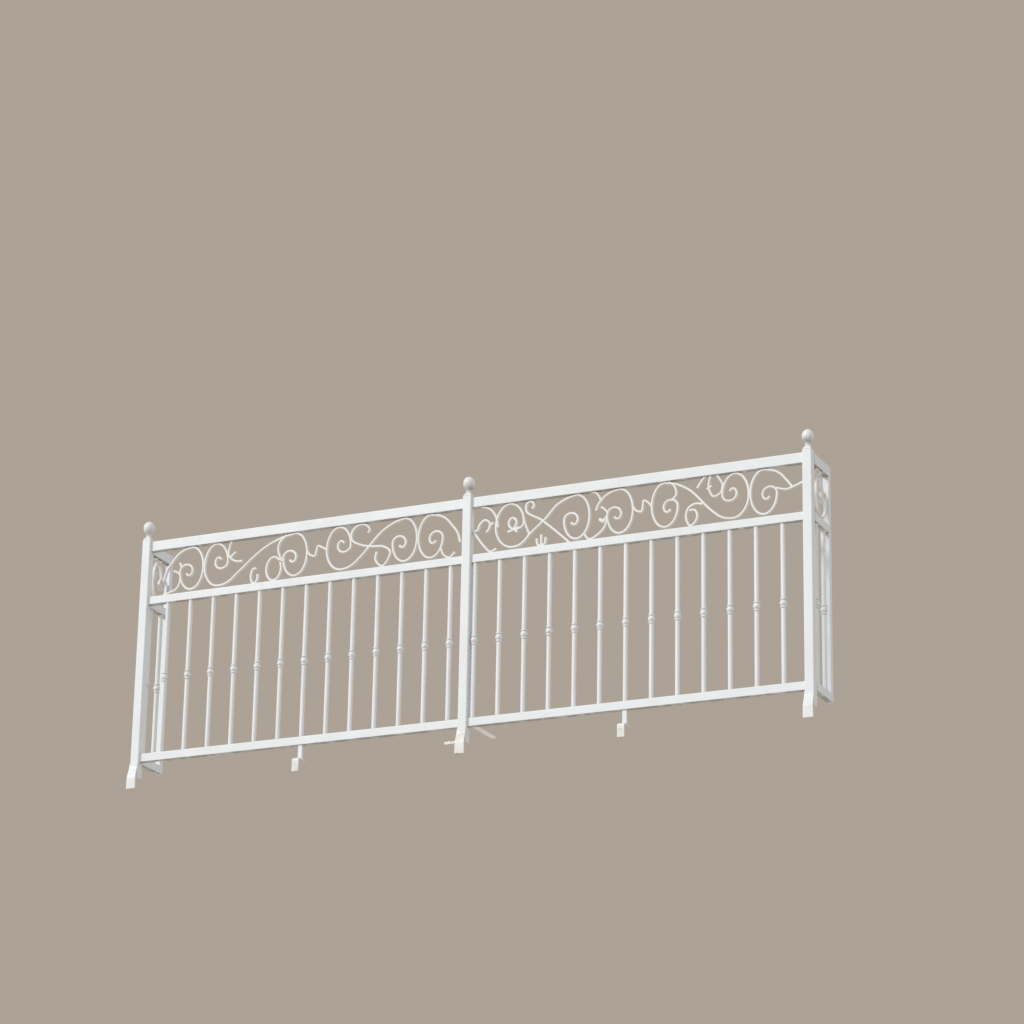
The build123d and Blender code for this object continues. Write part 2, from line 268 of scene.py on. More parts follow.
# An empty node group with named float inputs and outputs.
def newGroup(name, inputs, outputs):
    group = bpy.data.node_groups.new(name, "ShaderNodeTree")
    for label, value in inputs.items():
        socket = group.interface.new_socket(label, in_out="INPUT", socket_type="NodeSocketFloat")
        socket.default_value = value
    for label in outputs:
        group.interface.new_socket(label, in_out="OUTPUT", socket_type="NodeSocketFloat")
    start = group.nodes.new("NodeGroupInput")
    end = group.nodes.new("NodeGroupOutput")
    return group, start.outputs, end.inputs


# Where each effect's noise starts to count and where it counts in full, and the shares of its parts
effectValues = {
    "brushScale": 60.0, "brushStretch": (1, 1, 9), "brushShare": 0.8,
    "roughScale": 130.0, "roughLift": 0.45, "broadScale": 7.0, "broadLift": 0.5,
    "dirtFull": 1.0, "rustFull": 1.1,
    "blotchScale": 22.0, "blotch": (0.25, 0.75), "blotchLift": 0.35,
    "runStretch": (1, 1, 0.045), "runEdge": 0.16, "patchScale": 4.0, "patch": (0.42, 0.6),
    "chipScale": 75.0, "chipStretch": (1, 1, 0.55), "chipCut": 0.82, "chipReach": 0.3, "chipEdge": 0.06,
}


# Brushed paint: fine peel and long brush marks as height, broad clouds as mottle.
def makeGrainGroup(values):
    group, given, out = newGroup(
        "paintGrain", {"Peel Scale": 420.0, "Cloud Scale": 9.0}, ("Height", "Mottle"))
    peel = noiseOn(group, given["Peel Scale"], detail=3.0)
    brush = noiseOn(group, values["brushScale"], values["brushStretch"], detail=2.0, shift=3.1)
    both = mathNode(group, "ADD", peel, mathNode(group, "MULTIPLY", brush, values["brushShare"]))
    group.links.new(both, out["Height"])
    group.links.new(noiseOn(group, given["Cloud Scale"], detail=6.0, shift=1.7), out["Mottle"])
    return group


# Marks at the welds: dirt in a ragged halo, rust in smaller ragged spots inside it.
def makeMarksGroup(values):
    group, given, out = newGroup(
        "weldMarks", {"Joint": 0.0, "Dirt Reach": 0.5, "Rust Reach": 0.3}, ("Dirt", "Rust"))
    rough = noiseOn(group, values["roughScale"], detail=5.0, shift=0.4)
    broad = noiseOn(group, values["broadScale"], detail=2.0, shift=5.2)
    ragged = mathNode(group, "MULTIPLY", given["Joint"], mathNode(group, "ADD", rough, values["roughLift"]))
    dirtEdge = mathNode(group, "SUBTRACT", 1.0, given["Dirt Reach"])
    group.links.new(stepBetween(group, ragged, dirtEdge, values["dirtFull"]), out["Dirt"])
    patchy = mathNode(group, "MULTIPLY", ragged, mathNode(group, "ADD", broad, values["broadLift"]))
    rustEdge = mathNode(group, "SUBTRACT", 1.0, given["Rust Reach"])
    group.links.new(stepBetween(group, patchy, rustEdge, values["rustFull"]), out["Rust"])
    return group


# Dust and painted shade under the bars: darker the more the face looks down, broken up by noise.
def makeUnderGroup(values):
    group, given, out = newGroup("underDustAndShade", {"Start": 0.15, "Full": 0.9}, ("Mask",))
    normal = addNode(group, "NewGeometry").outputs["Normal"]
    down = addNode(group, "SeparateXYZ", {0: normal}).outputs[2]
    mask = stepBetween(group, mathNode(group, "MULTIPLY", down, -1.0), given["Start"], given["Full"])
    noise = noiseOn(group, values["blotchScale"], detail=5.0, shift=2.3)
    broken = mathNode(group, "ADD", stepBetween(group, noise, *values["blotch"]), values["blotchLift"])
    group.links.new(mathNode(group, "MULTIPLY", mask, broken), out["Mask"])
    return group


# Rain runs: noise drawn out along Z, kept where it is high.
def makeRunsGroup(values):
    group, given, out = newGroup("rainRuns", {"Scale": 90.0, "Cut": 0.58}, ("Mask",))
    long = noiseOn(group, given["Scale"], values["runStretch"], detail=3.0, shift=0.9)
    patch = noiseOn(group, values["patchScale"], detail=1.0, shift=7.0)
    high = mathNode(group, "ADD", given["Cut"], values["runEdge"])
    runs = stepBetween(group, long, given["Cut"], high)
    places = stepBetween(group, patch, *values["patch"])
    group.links.new(mathNode(group, "MULTIPLY", runs, places), out["Mask"])
    return group


# Chips along corners: the edge mask where a patchy noise is high.
def makeChipsGroup(values):
    group, given, out = newGroup("edgeChips", {"Edge": 0.0, "Amount": 0.3}, ("Mask",))
    noise = noiseOn(group, values["chipScale"], values["chipStretch"], detail=5.0, shift=6.6)
    reach = mathNode(group, "MULTIPLY", given["Amount"], values["chipReach"])
    cut = mathNode(group, "SUBTRACT", values["chipCut"], reach)
    high = mathNode(group, "ADD", cut, values["chipEdge"])
    chips = stepBetween(group, noise, cut, high)
    group.links.new(mathNode(group, "MULTIPLY", given["Edge"], chips), out["Mask"])
    return group


grainGroup = makeGrainGroup(effectValues)
marksGroup = makeMarksGroup(effectValues)
underGroup = makeUnderGroup(effectValues)
runsGroup = makeRunsGroup(effectValues)
chipsGroup = makeChipsGroup(effectValues)

coatValues = {
    "paint": (0.79, 0.82, 0.845, 1), "aged": (0.71, 0.715, 0.70, 1), "dust": (0.50, 0.45, 0.38, 1),
    "dirt": (0.30, 0.265, 0.215, 1), "rust": (0.17, 0.09, 0.045, 1), "primer": (0.42, 0.41, 0.39, 1),
    "mottle": 0.35, "clouds": (0.35, 0.75), "cloudScale": 9.0, "peelScale": 420.0,
    # underside, underStart and underFull: how strongly, and from which slope, downward faces take the dust
    # colour, partly dust and partly painted shade
    "underside": 0.6, "underStart": 0.15, "underFull": 0.9, "runs": 0.16, "chips": 0.25, "chipDepth": 1.5,
    "dirtReach": 0.36, "dirtDepth": 0.14, "rustReach": 0.1, "rustDepth": 0.12,
    "roughness": 0.38, "wornRough": 0.35, "cloudRough": 0.25, "shine": 0.4,
    "bump": 0.35, "bumpHeight": 0.35 * mm,
}


# Paint over steel: clouds of age, dust and painted shade below, rain runs, dirt and rust at the welds,
# chipped corners.
def makePaint(name, **changes):
    values = {**coatValues, **changes}
    material = bpy.data.materials.new(name)
    material.use_nodes = True
    tree = material.node_tree
    shader = tree.nodes["Principled BSDF"]
    joint = addNode(tree, "Attribute", attribute_name="joint").outputs["Fac"]
    edge = addNode(tree, "Attribute", attribute_name="edge").outputs["Fac"]
    grain = groupNode(tree, grainGroup, {
        "Peel Scale": values["peelScale"], "Cloud Scale": values["cloudScale"]})
    marks = groupNode(tree, marksGroup, {
        "Joint": joint, "Dirt Reach": values["dirtReach"], "Rust Reach": values["rustReach"]})
    under = groupNode(tree, underGroup, {
        "Start": values["underStart"], "Full": values["underFull"]})["Mask"]
    runs = groupNode(tree, runsGroup, {})["Mask"]
    chips = groupNode(tree, chipsGroup, {"Edge": edge, "Amount": values["chips"]})["Mask"]
    clouds = stepBetween(tree, grain["Mottle"], *values["clouds"])
    clouds = mathNode(tree, "MULTIPLY", clouds, values["mottle"])
    colour = mixColour(tree, clouds, values["paint"], values["aged"])
    # Downward faces take the dust colour: partly dust, partly painted shade under the bars
    colour = coverWith(tree, colour, under, values["underside"], values["dust"])
    colour = coverWith(tree, colour, runs, values["runs"], values["dust"])
    colour = coverWith(tree, colour, marks["Dirt"], values["dirtDepth"], values["dirt"])
    colour = mixColour(tree, chips, colour, values["primer"])
    colour = coverWith(tree, colour, marks["Rust"], values["rustDepth"], values["rust"])
    tree.links.new(colour, shader.inputs["Base Color"])
    worn = mathNode(tree, "MAXIMUM", marks["Dirt"], marks["Rust"])
    worn = mathNode(tree, "MULTIPLY", worn, values["wornRough"])
    rough = mathNode(tree, "ADD", worn, values["roughness"])
    rough = mathNode(tree, "ADD", rough, mathNode(tree, "MULTIPLY", clouds, values["cloudRough"]))
    tree.links.new(rough, shader.inputs["Roughness"])
    sunken = mathNode(tree, "MULTIPLY", chips, values["chipDepth"])
    bump = addNode(tree, "Bump", {
        "Height": mathNode(tree, "SUBTRACT", grain["Height"], sunken),
        "Strength": values["bump"], "Distance": values["bumpHeight"]})
    tree.links.new(bump.outputs[0], shader.inputs["Normal"])
    shader.inputs["Specular IOR Level"].default_value = values["shine"]
    return material


# Rails: the darker underside colour at full strength is painted shadow under the rails, over some dust
barPaint = makePaint("barPaint", underside=1.0, dust=(0.33, 0.315, 0.28, 1), runs=0.1)
postPaint = makePaint("postPaint", runs=0.2, chips=0.35, cloudScale=6.0)
tubePaint = makePaint("tubePaint", chips=0.0, paint=(0.80, 0.815, 0.825, 1), rustDepth=0.3)
scrollPaint = makePaint("scrollPaint", chips=0.3, paint=(0.82, 0.815, 0.79, 1), aged=(0.70, 0.68, 0.63, 1),
                        mottle=0.5, rustReach=0.2, underside=0.45, dirtDepth=0.25, rustDepth=0.5)
# Finial balls: the darker colour over the whole lower half, from just below the equator, is painted shade,
# with a little dust
ballPaint = makePaint("ballPaint", chips=0.0, paint=(0.80, 0.80, 0.795, 1), cloudScale=26.0, mottle=0.4,
                      underside=1.0, underStart=-0.05, underFull=0.6, dust=(0.42, 0.415, 0.385, 1))
strapPaint = makePaint("strapPaint", paint=(0.785, 0.805, 0.82, 1), aged=(0.72, 0.71, 0.68, 1), mottle=0.45,
                       runs=0.3, chips=0.4, cloudScale=24.0)
oldStrapPaint = makePaint("oldStrapPaint", paint=(0.785, 0.79, 0.78, 1), aged=(0.68, 0.645, 0.58, 1),
                          mottle=0.6, runs=0.4, chips=0.6, cloudScale=24.0, rustReach=0.42,
                          dirtDepth=0.3, rustDepth=0.9)
# Wall tie: its paint is lighter than the rest and its underside is not darkened, painted light standing in
# for light reflected onto its underside
tiePaint = makePaint("tiePaint", paint=(0.92, 0.905, 0.87, 1), aged=(0.80, 0.77, 0.70, 1), mottle=0.5,
                     chips=0.6, cloudScale=30.0, underside=0.0)
print("materials made:", len(bpy.data.materials))


# Bars of rectangular tube
barValues = {"corner": 3.0 * mm, "arcSteps": 4, "step": 10 * mm, "endRound": 1.2 * mm,
             "endAngles": (0, 30, 60, 90), "seat": 0.9 * mm, "bead": 1.5 * mm, "beadSpread": 2.6 * mm,
             "beadSteps": (0.8, 1.5, 2.5), "beadWave": 0.35, "beadPitch": 1.9}
flatShares = np.array((0.05, 0.35, 0.65, 0.95))
quarterSigns = ((1, 1), (-1, 1), (-1, -1), (1, -1))


# Section round a rectangle: four quarter circles of one radius, joined by flats with points near
# both ends of each flat, as (points, outward normals, 1 on the arcs and 0 on the flats).
def roundedSection(halfA, halfB, radius, arcSteps):
    turn = np.radians(np.linspace(0, 90, arcSteps + 1))
    centres = [np.array([a * (halfA - radius), b * (halfB - radius)]) for a, b in quarterSigns]
    points, normals, edge = [], [], []
    for quarter, centre in enumerate(centres):
        angle = turn + quarter * math.pi / 2
        out = np.stack([np.cos(angle), np.sin(angle)], 1)
        arc = centre + radius * out
        flatEnd = centres[(quarter + 1) % 4] + radius * out[-1]
        flat = arc[-1] + flatShares[:, None] * (flatEnd - arc[-1])
        points += [arc, flat]
        normals += [out, np.repeat(out[-1:], len(flatShares), 0)]
        edge += [np.ones(len(arc)), np.zeros(len(flat))]
    return np.concatenate(points), np.concatenate(normals), np.concatenate(edge)


# The corners of a bar whose welded ends sink into their neighbours by the seat.
def seatedCorners(node, axis, welded):
    low, high = corners(node)
    low[axis] -= barValues["seat"] * welded[0]
    high[axis] += barValues["seat"] * welded[1]
    return low, high


# A closed bar between two corners: the section is carried along one axis, draws in by a quarter
# circle at each free end, and swells by bead * exp(-(distance from a welded end / spread)^2), waved
# round the section by 1 + beadWave * sin(beadPitch * point + phase).
def barShell(low, high, axis, values, welded):
    across = [(axis + 1) % 3, (axis + 2) % 3]
    half = (high - low) / 2
    centre = (high + low) / 2
    section, normal, edge = roundedSection(
        half[across[0]], half[across[1]], values["corner"], values["arcSteps"])
    length = high[axis] - low[axis]
    curl = values["endRound"] * (1 - np.cos(np.radians(values["endAngles"])))
    near = np.concatenate([curl, np.array(values["beadSteps"]) * values["beadSpread"]])
    count = max(2, int((length - 2 * near[-1]) / values["step"]))
    inner = np.linspace(near[-1], length - near[-1], count + 1)[1:-1]
    station = np.concatenate([near, inner, (length - near)[::-1]])
    offset = np.zeros((len(station), len(section)))
    phase = rng.uniform(0, 6)
    wave = 1 + values["beadWave"] * np.sin(np.arange(len(section)) * values["beadPitch"] + phase)
    for fromEnd, isWelded in ((station, welded[0]), (length - station, welded[1])):
        if isWelded:
            offset += values["bead"] * np.exp(-(fromEnd[:, None] / values["beadSpread"]) ** 2) * wave
        else:
            depth = np.clip(values["endRound"] - fromEnd, 0, None)
            drawn = values["endRound"] - np.sqrt(values["endRound"] ** 2 - depth ** 2)
            offset -= drawn[:, None]
    ring = section[None] + normal[None] * offset[..., None]
    grid = np.empty(ring.shape[:2] + (3,))
    grid[..., across[0]] = centre[across[0]] + ring[..., 0]
    grid[..., across[1]] = centre[across[1]] + ring[..., 1]
    grid[..., axis] = (low[axis] + station)[:, None]
    return shellOf(grid), np.tile(edge, len(station))


# The painted bar of a node, with its welded ends and any values of its own.
def makeBar(node, axis, material, welded=(True, True), **changes):
    low, high = seatedCorners(node, axis, welded)
    shell, edge = barShell(low, high, axis, {**barValues, **changes}, welded)
    return makePiece("painted_" + node, [shell], material, [node], edge)


for side in postSides:
    makeBar("post_" + side, alongZ, postPaint, (False, False), corner=3.5 * mm)
for level in ("bottom_rail_", "mid_rail_", "top_rail_"):
    for bay in bays:
        makeBar(level + bay, alongX, barPaint)
    for place in returns:
        makeBar(level + place, alongY, barPaint)
for side in ("left", "right"):
    makeBar("wall_bar_" + side, alongZ, postPaint, (False, False))
    makeBar("leg_" + side + "_bay", alongZ, barPaint, corner=2 * mm)
makeBar("wall_tie", alongY, tiePaint, (True, False), corner=1.2 * mm)


# Foot lug: a thicker bar with two fixing heads on it, at shares of its length
lugValues = {"thick": 12 * mm, "corner": 1.5 * mm, "headRadius": 6 * mm, "headHeight": 4 * mm,
             "headAngles": (0, 12, 28, 45, 62, 78, 89), "headPower": 0.6, "headSides": 20,
             "headShares": (0.3, 0.72), "headBack": 9 * mm, "headSunk": 0.3 * mm}


# A round head standing on a face: as the angle goes from 0 to 90 degrees, its radius is
# radius * cos(angle)^power and its height is height * sin(angle), a bulging rim under a low dome.
def headShell(spot, values):
    rise = np.radians(np.array(values["headAngles"]))[:, None]
    turn = np.linspace(0, 2 * math.pi, values["headSides"], endpoint=False)[None]
    across = values["headRadius"] * np.cos(rise) ** values["headPower"]
    return shellOf(np.stack([spot[0] + across * np.cos(turn), spot[1] + across * np.sin(turn),
                             spot[2] + values["headHeight"] * np.sin(rise) + 0 * turn], -1))


lugWelded = (False, True)
low, high = seatedCorners("foot_lug", alongX, lugWelded)
high[2] = low[2] + lugValues["thick"]
lugShell, lugEdge = barShell(
    low, high, alongX, {**barValues, "corner": lugValues["corner"]}, lugWelded)
headSpots = [(low[0] + share * (high[0] - low[0]), low[1] + lugValues["headBack"],
              high[2] - lugValues["headSunk"]) for share in lugValues["headShares"]]
heads = [headShell(spot, lugValues) for spot in headSpots]
lugEdge = np.concatenate([lugEdge] + [np.zeros(len(head[0])) for head in heads])
makePiece("painted_foot_lug", [lugShell] + heads, oldStrapPaint, ["foot_lug"], lugEdge)
print("posts, rails, wall bars, legs, tie and lug made")


# Upright tubes
tubeValues = {"radius": tubeLayout["radius"], "ball": 15.0 * mm, "collar": 13.5 * mm, "collarThick": 6 * mm,
              "collarGap": 17 * mm, "knuckleReach": 23 * mm, "knuckleSteps": 62, "shaftSteps": 18,
              "sides": 28, "bead": 1.3 * mm, "beadSpread": 2.2 * mm, "beadWave": 0.35,
              "beadSteps": (0, 0.6, 1.3, 2.2, 3.4, 5.5)}


# Radius of a tube at a height h from its middle: the largest of the tube, the ball's circle
# sqrt(ball^2 - h^2), and two collars whose rims follow (1 - (distance / half thickness)^4)^(1/4).
# Weld ridges, waved round the tube, swell both ends.
def tubeGrid(spot, low, high, values):
    middle = (low + high) / 2
    knuckle = np.linspace(-values["knuckleReach"], values["knuckleReach"], values["knuckleSteps"])
    reach = (high - low) / 2
    ends = reach - np.array(values["beadSteps"]) * values["beadSpread"]
    shaft = np.linspace(knuckle[-1], ends[-1], values["shaftSteps"])[1:-1]
    upper = np.concatenate([shaft, ends[::-1]])
    height = np.concatenate([-upper[::-1], knuckle, upper])
    ball = np.sqrt(np.clip(values["ball"] ** 2 - height ** 2, 0, None))
    rim = values["collarThick"] / 2
    share = np.clip(1 - (np.abs(np.abs(height) - values["collarGap"]) / rim) ** 4, 0, None) ** 0.25
    collar = values["radius"] + (values["collar"] - values["radius"]) * share
    radius = np.maximum(np.maximum(ball, collar), values["radius"])
    turn = np.linspace(0, 2 * math.pi, values["sides"], endpoint=False)
    phase = rng.uniform(0, 6, 2)
    fromEnd = reach - np.abs(height)
    wave = 1 + values["beadWave"] * np.sin(5 * turn + phase[0]) * np.cos(2 * turn + phase[1])
    ridge = values["bead"] * np.exp(-(fromEnd[:, None] / values["beadSpread"]) ** 2) * wave
    full = radius[:, None] + ridge
    grid = np.empty(full.shape + (3,))
    grid[..., 0] = spot[0] + full * np.cos(turn)
    grid[..., 1] = spot[1] + full * np.sin(turn)
    grid[..., 2] = (middle + height)[:, None]
    return grid


for place in bays + returns:
    shells = [shellOf(tubeGrid(spot, bottomTop, midLow, tubeValues)) for spot in tubeSpots[place]]
    makePiece("tubes_" + place, shells, tubePaint, ["balusters_" + place])
print("uprights made")


# Ball finials
finialValues = {"ball": 25.3 * mm, "lift": 61.5 * mm, "crown": 1.12, "belly": 1.49, "ballSteps": 34,
                "neckLow": 11 * mm, "neckHigh": 15.5 * mm, "neckHollow": 2.2, "neckSteps": 14,
                "sides": 48, "tip": 0.05 * mm, "bead": 1.6 * mm, "beadSpread": 2.5 * mm,
                "capHeight": 14 * mm, "capTop": 25 * mm, "capRim": 1.2 * mm, "capCorner": 3.5 * mm,
                "capShares": (0, 0, 0.08, 0.3, 0.55, 0.8, 0.94, 1.0), "capCornerLoss": 0.4, "capWear": 0.6}


# Profile by height: a neck that widens as share^hollow, then the ball's circle, whose lower half is
# drawn down by the belly's share and its upper half up by the crown's. A weld ridge swells the foot,
# and a small cap closes the top.
def finialGrid(x, values):
    foot = postHigh[2] + values["capHeight"]
    centre = postHigh[2] + values["lift"]
    start = -math.acos(values["neckHigh"] / values["ball"])
    share = np.linspace(0, 1, values["neckSteps"])
    meet = centre + values["ball"] * values["belly"] * math.sin(start)
    neckHeight = foot + (meet - foot) * share
    neck = values["neckLow"] + (values["neckHigh"] - values["neckLow"]) * share ** values["neckHollow"]
    neck = neck + values["bead"] * np.exp(-((neckHeight - foot) / values["beadSpread"]) ** 2)
    rise = np.linspace(start, math.pi / 2, values["ballSteps"])[1:]
    tall = values["ball"] * np.where(rise < 0, values["belly"], values["crown"])
    height = np.concatenate([neckHeight, centre + tall * np.sin(rise)])
    radius = np.concatenate([neck, np.maximum(values["ball"] * np.cos(rise), values["tip"])])
    turn = np.linspace(0, 2 * math.pi, values["sides"], endpoint=False)
    grid = np.empty((len(height), len(turn), 3))
    grid[..., 0] = x + radius[:, None] * np.cos(turn)
    grid[..., 1] = radius[:, None] * np.sin(turn)
    grid[..., 2] = height[:, None]
    return grid


# Low pyramid on a post: rectangles with rounded corners that go, above a small upright rim, in a
# straight slope from the post's outline to the neck's seat.
def capGrid(x, values):
    halfLow = (postHigh - postLow)[:2] / 2
    share = np.array(values["capShares"])
    lift = values["capRim"] + share * (values["capHeight"] - values["capRim"])
    lift[0] = 0
    grid = []
    for s, height in zip(share, lift):
        half = halfLow + s * (values["capTop"] / 2 - halfLow)
        corner = values["capCorner"] * (1 - values["capCornerLoss"] * s)
        ring, _, edge = roundedSection(half[0], half[1], corner, barValues["arcSteps"])
        grid.append(np.column_stack([ring + (x, 0), np.full(len(ring), postHigh[2] + height)]))
    return np.array(grid), np.tile(edge, len(share))


for side in postSides:
    ball = shellOf(finialGrid(postX[side], finialValues))
    capPoints, capEdge = capGrid(postX[side], finialValues)
    edges = np.concatenate([np.zeros(len(ball[0])), capEdge * finialValues["capWear"]])
    makePiece("finial_" + side, [ball, shellOf(capPoints)], ballPaint, ["finials"], edges)
print("finials made")


# Scrollwork

# Points of an elliptical arc about a centre, from one angle through a turn, in degrees.
def arcLine(centre, reach, start, turn):
    degreesPerStep = 3
    angle = np.radians(np.linspace(start, start + turn, int(abs(turn) / degreesPerStep) + 2))
    return np.stack([centre[0] + reach[0] * np.cos(angle), centre[1] + reach[1] * np.sin(angle)], 1)


# A smooth line through points: on each span a cubic, p(2t^3 - 3t^2 + 1) + q(3t^2 - 2t^3)
# + gap(v(t^3 - 2t^2 + t) + w(t^3 - t^2)), where v and w are the directions at its two ends.
def smoothLine(points):
    points = np.array(points, float)
    step = np.diff(points, axis=0)
    gap = np.linalg.norm(step, axis=1)[:, None]
    way = step / gap
    share = gap[1:] / (gap[:-1] + gap[1:])
    inner = share * way[:-1] + (1 - share) * way[1:]
    ways = np.concatenate([way[:1], inner, way[-1:]])
    stepsPerSpan = 16
    t = np.linspace(0, 1, stepsPerSpan, endpoint=False)[None, :, None]
    p, q, v, w = (a[:, None] for a in (points[:-1], points[1:], ways[:-1], ways[1:]))
    spans = p * (2 * t**3 - 3 * t**2 + 1) + q * (3 * t**2 - 2 * t**3)
    spans = spans + gap[:, None] * (v * (t**3 - 2 * t**2 + t) + w * (t**3 - t**2))
    return np.concatenate([spans.reshape(-1, 2), points[-1:]])


# A big scroll in halves of its width and height: from its lowest point up the outer side, over the
# top, down the inner side and into the curl and its eye, all elliptical arcs.
def scrollTurn(lean):
    curlHeight, innerSide = 0.1, 0.96
    curlReach, eyeReach = (0.53, 0.3), (0.27, 0.24)
    curlX = innerSide - curlReach[0]
    eyeX = curlX - curlReach[0] + eyeReach[0]
    parts = [
        arcLine((lean, 0), (1 + lean, 1), -90, -90), arcLine((0, 0), (1, 1), 180, -90),
        arcLine((0, curlHeight), (innerSide, 1 - curlHeight), 90, -90),
        arcLine((curlX, curlHeight), curlReach, 0, -180), arcLine((eyeX, curlHeight), eyeReach, 180, -150),
    ]
    return np.concatenate([part[:-1] for part in parts[:-1]] + [parts[-1]])


# A point as (x, z), from a big scroll's place and steps in halves of its width and height.
def placed(x, across, up):
    return (x + across * frieze["halfWidth"], scrollMid + up * scrollHalf)


# The scroll at a place, turned to a side, flipped upside down by signs and drawn wider by a share.
def scrollLine(x, side, flip, lean=0.0, wide=1.0):
    turn = scrollTurn(lean)
    return np.stack(placed(x, side * flip * wide * turn[:, 0], flip * turn[:, 1]), 1)


# Points that lines pass through, as (across, up) in halves of a big scroll's size: the climb away
# from a low scroll, the arrival at a high one (across in shares of its length) and falling tails.
shortClimb = ((0.6, -0.98), (1.1, -0.86), (1.6, -0.62))
wideClimb = ((0.6, -0.98), (1.05, -0.83), (1.53, -0.525), (2.34, -0.11), (2.75, 0.1))
arrivalRise = ((1, 0.68), (0.5, 0.9))
tailFalls = ((0, 1), (0.6, 0.93), (1.1, 0.78), (1.7, 0.38), (2.1, 0.05), (2.35, -0.45))
cutTail = tailFalls[:4] + ((1.83, 0.16),)


# A low scroll that runs on along its rail, rises and turns into a high one upside down.
def doubleScroll(xLow, xHigh, arrival, wide=1.0, climb=shortClimb):
    side = 1 if xHigh > xLow else -1
    low = scrollLine(xLow, side, 1, frieze["lean"], wide)[::-1]
    high = scrollLine(xHigh, side, -1)
    leave = [placed(xLow, side * across, up) for across, up in climb]
    reach = [placed(xHigh - side * arrival * share, 0, up) for share, up in arrivalRise]
    rise = smoothLine([low[-1]] + leave + reach + [high[0]])
    return np.concatenate([low[:-1], rise, high[1:]])


# A high scroll whose other end falls away as a tail.
def singleScroll(x, side, falls):
    tail = smoothLine([placed(x, side * across, up) for across, up in falls])[::-1]
    return np.concatenate([tail, scrollLine(x, -side, -1)[1:]])


# Small bars: points as (x, height above the mid rail) in millimetres.
def lifted(points):
    return smoothLine([(x * mm, midTop + lift * mm) for x, lift in points])


# A loop or part of one: an elliptical arc about a point given in the same way.
def ringLine(x, lift, reach, start, turn):
    return arcLine((x * mm, midTop + lift * mm), (reach[0] * mm, reach[1] * mm), start, turn)


# The line at even steps along its length, with closer steps at both ends, its sideways directions
# (the slope of the line, turned a quarter), the places of its points along it and its length.
def evenSteps(line, stride, near):
    run = np.concatenate([[0], np.cumsum(np.linalg.norm(np.diff(line, axis=0), axis=1))])
    near = np.array(near)
    station = np.linspace(near[-1], run[-1] - near[-1], max(3, int(run[-1] / stride)))[1:-1]
    station = np.concatenate([near, station, run[-1] - near[::-1]])
    line = np.stack([np.interp(station, run, line[:, n]) for n in range(2)], 1)
    ahead = np.gradient(line, axis=0)
    ahead /= np.linalg.norm(ahead, axis=1)[:, None]
    aside = np.stack([-ahead[:, 1], ahead[:, 0]], 1)
    return line, aside, station, run[-1]


# A flat bar on edge along a line: its section, a rounded rectangle, is carried square to the line.
# Near an end, at a distance d, it is thicker by swell * exp(-(d / swellReach)^2), and it narrows as
# sqrt(1 - (1 - d / endRound)^2) for d under endRound.
def ribbonShell(line, place, values, depth):
    line, aside, station, length = evenSteps(line, values["stride"], values["near"])
    section, _, edge = roundedSection(
        values["barWidth"] / 2, depth / 2, values["corner"], values["arcSteps"])
    fromEnd = np.minimum(station, length - station)
    drawn = np.sqrt(1 - np.clip(1 - (fromEnd + values["endTip"]) / values["endRound"], 0, 1) ** 2)
    drawn = drawn * (1 + values["swell"] * np.exp(-(fromEnd / values["swellReach"]) ** 2))
    flat = line[:, None] + aside[:, None] * (section[:, 0][None] * drawn[:, None])[..., None]
    deep = section[:, 1][None] * (1 - values["endThin"] * np.clip(1 - drawn[:, None], 0, 1))
    return shellOf(place(flat, deep)), np.tile(edge, len(station))


# Places of a line drawn in the front plane: X, the bar's depth about the frieze, Z.
def inFront(flat, deep):
    return np.stack([flat[..., 0], friezeY + deep, flat[..., 1]], -1)


# Places of a line drawn in a side plane at an X: the bar's depth about it, Y, Z.
def sidePlane(x):
    def inSide(flat, deep):
        return np.stack([x + deep, returnMid + flat[..., 0], flat[..., 1]], -1)

    return inSide


leftLines = [
    singleScroll(singles["left"], -1, tailFalls),
    doubleScroll(frieze["left"][0], frieze["left"][1], frieze["arrival"]["long"]),
    doubleScroll(frieze["left"][2], frieze["left"][3], frieze["arrival"]["short"]),
    singleScroll(singles["leftInner"], 1, tailFalls),
    # Arc and leaf tip at the first scroll
    lifted([(-1434, 107), (-1405, 90), (-1401, 54), (-1416, 24), (-1449, 10), (-1480, 2)]),
    lifted([(-1405, 141), (-1393, 117)]),
    # Tendril and bud beside the second scroll
    lifted([(-1148, 212), (-1158, 180), (-1161, 150), (-1146, 128), (-1120, 114), (-1091, 112)]),
    lifted([(-1150, 134), (-1138, 147), (-1124, 157)]),
    # Two loops standing on the mid rail
    ringLine(-1029, 36, (17, 34), 60, 310),
    ringLine(-934, 57, (36, 53), 40, 350),
    # Wave between the third and fourth scrolls
    lifted([(-773, 119), (-755, 97), (-733, 90), (-726, 112), (-718, 134), (-704, 128), (-677, 112)]),
    # Tendril that crosses the short diagonal and curls up on the rail
    lifted([(-477, 163), (-470, 178), (-488, 200), (-528, 202), (-556, 174), (-554, 140), (-514, 114),
            (-455, 99), (-402, 92), (-369, 66), (-376, 35), (-405, 4), (-439, 39), (-433, 72)]),
    # Foot bar beside the centre post
    lifted([(-128, 48), (-112, 16), (-88, 3), (-60, 24)]),
    # Bar that falls from the long diagonal's end to the side of the second scroll
    lifted([(-872, 203), (-899, 185), (-913, 160), (-912, 129), (-904, 108), (-893, 86)]),
]
